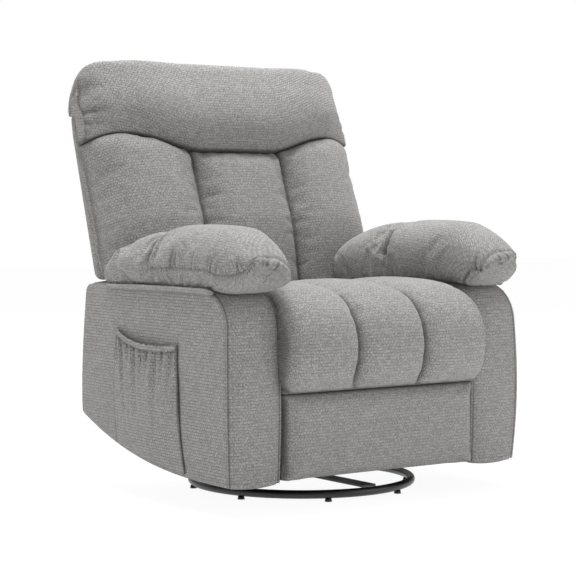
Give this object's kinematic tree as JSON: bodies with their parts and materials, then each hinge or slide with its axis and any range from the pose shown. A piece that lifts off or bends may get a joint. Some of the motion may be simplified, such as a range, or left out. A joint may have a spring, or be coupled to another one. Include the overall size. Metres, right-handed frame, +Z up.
{
  "type": "swivel rocking chair",
  "caption": "Padded swivel rocking recliner in grey weave with a channelled seat and back, pillow arms, side pocket, fold-out footrest and a black steel ring base",
  "frame": {"origin": "On the floor, under the middle of the chair's outline with the back up and the footrest stowed", "axes": "+Z is up. -Y is the way the sitter faces, so +X is the sitter's left"},
  "size_m": [0.8453, 0.825, 1.0378],
  "materials": {
    "grey_weave": "textured grey weave, matt",
    "black_steel": "gloss black paint on steel",
    "zinc_plate": "zinc-plated steel",
    "black_plastic": "moulded black glide",
    "white_nylon": "natural nylon",
    "plywood": "raw plywood and softwood",
    "dark_webbing": "dark woven webbing"
  },
  "bodies": {
    "chassis": {"arm_core_left": "plywood", "arm_core_right": "plywood", "arm_cover_left": "grey_weave", "arm_cover_right": "grey_weave", "arm_pad_left": "grey_weave", "arm_pad_right": "grey_weave", "cradle_plate": "black_steel", "cradle_side_left": "black_steel", "cradle_side_right": "black_steel", "frame_cross_front": "black_steel", "frame_cross_rear": "black_steel", "mechanism_plate_left": "black_steel", "mechanism_plate_right": "black_steel", "rock_rod": "zinc_plate", "seat_board": "plywood", "seat_cushion": "grey_weave", "seat_front_rail": "plywood", "seat_side_rail_left": "plywood", "seat_side_rail_right": "plywood", "side_pocket": "grey_weave"},
    "backrest": {"back_bracket_left": "black_steel", "back_bracket_right": "black_steel", "back_cushion": "grey_weave", "back_panel": "plywood", "head_pillow": "grey_weave", "outer_back": "grey_weave", "rear_flap": "grey_weave"},
    "base": {"base_foot_1": "black_plastic", "base_foot_2": "black_plastic", "base_foot_3": "black_plastic", "base_foot_4": "black_plastic", "base_foot_5": "black_plastic", "base_foot_6": "black_plastic", "base_foot_7": "black_plastic", "base_foot_8": "black_plastic", "base_ring": "black_steel", "base_spokes": "black_steel", "lower_race": "zinc_plate"},
    "carriers": {"carrier_link_left": "black_steel", "carrier_link_right": "black_steel"},
    "drive_links": {"drive_link_left": "black_steel", "drive_link_right": "black_steel"},
    "footrest": {"footrest_board": "plywood", "footrest_bracket_left": "black_steel", "footrest_bracket_right": "black_steel", "footrest_pad": "grey_weave"},
    "swing_links": {"footrest_cross_bar": "black_steel", "swing_link_left": "black_steel", "swing_link_right": "black_steel"},
    "rear_links": {"rear_link_left": "black_steel", "rear_link_right": "black_steel"},
    "release": {"release_strap": "dark_webbing"},
    "turntable": {"rock_bracket_left": "black_steel", "rock_bracket_right": "black_steel", "rock_bush_left": "white_nylon", "rock_bush_right": "white_nylon", "rock_spring_front": "zinc_plate", "rock_spring_rear": "zinc_plate", "turntable_plate": "black_steel", "upper_race": "zinc_plate"}
  },
  "joints": [
    {"name": "swivel", "type": "hinge", "parent": "base", "child": "turntable", "pos_m": [0, -0.0532, 0.0399], "axis": [0, 0, 1], "continuous": true},
    {"name": "rock", "type": "hinge", "parent": "turntable", "child": "chassis", "pos_m": [0, -0.0532, 0.13], "axis": [-1, 0, 0], "range_deg": [-5, 10], "stiffness_Nm_per_rad": 1500, "deforming": ["rock_spring_front", "rock_spring_rear"]},
    {"name": "footrest_open", "type": "hinge", "parent": "chassis", "child": "swing_links", "pos_m": [0, -0.2332, 0.285], "axis": [-1, 0, 0], "range_deg": [0, 90]},
    {"name": "rear_link_turn", "type": "hinge", "parent": "chassis", "child": "rear_links", "pos_m": [0, -0.1732, 0.285], "axis": [-1, 0, 0], "range_deg": [-1, 91]},
    {"name": "carrier_turn", "type": "hinge", "parent": "swing_links", "child": "carriers", "pos_m": [0, -0.1008, 0.1093], "axis": [-1, 0, 0], "range_deg": [-91, 1]},
    {"name": "drive_turn", "type": "hinge", "parent": "swing_links", "child": "drive_links", "pos_m": [0, -0.09457, 0.07996], "axis": [-1, 0, 0], "range_deg": [-91, 1]},
    {"name": "footrest_turn", "type": "hinge", "parent": "carriers", "child": "footrest", "pos_m": [0, -0.2015, 0.18587], "axis": [-1, 0, 0], "range_deg": [-1, 91]},
    {"name": "recline", "type": "hinge", "parent": "chassis", "child": "backrest", "pos_m": [0, 0.2018, 0.33], "axis": [-1, 0, 0], "range_deg": [0, 35]},
    {"name": "release_pull", "type": "slide", "parent": "chassis", "child": "release", "axis": [0, 0, 1], "range_m": [0, 0.03], "stiffness_N_per_m": 300, "springref_m": -0.004}
  ],
  "couplings": [
    {"joint": "rear_link_turn", "follows": "footrest_open", "ratio": 1},
    {"joint": "carrier_turn", "follows": "footrest_open", "ratio": -1},
    {"joint": "drive_turn", "follows": "footrest_open", "ratio": -1},
    {"joint": "footrest_turn", "follows": "footrest_open", "ratio": 1}
  ]
}
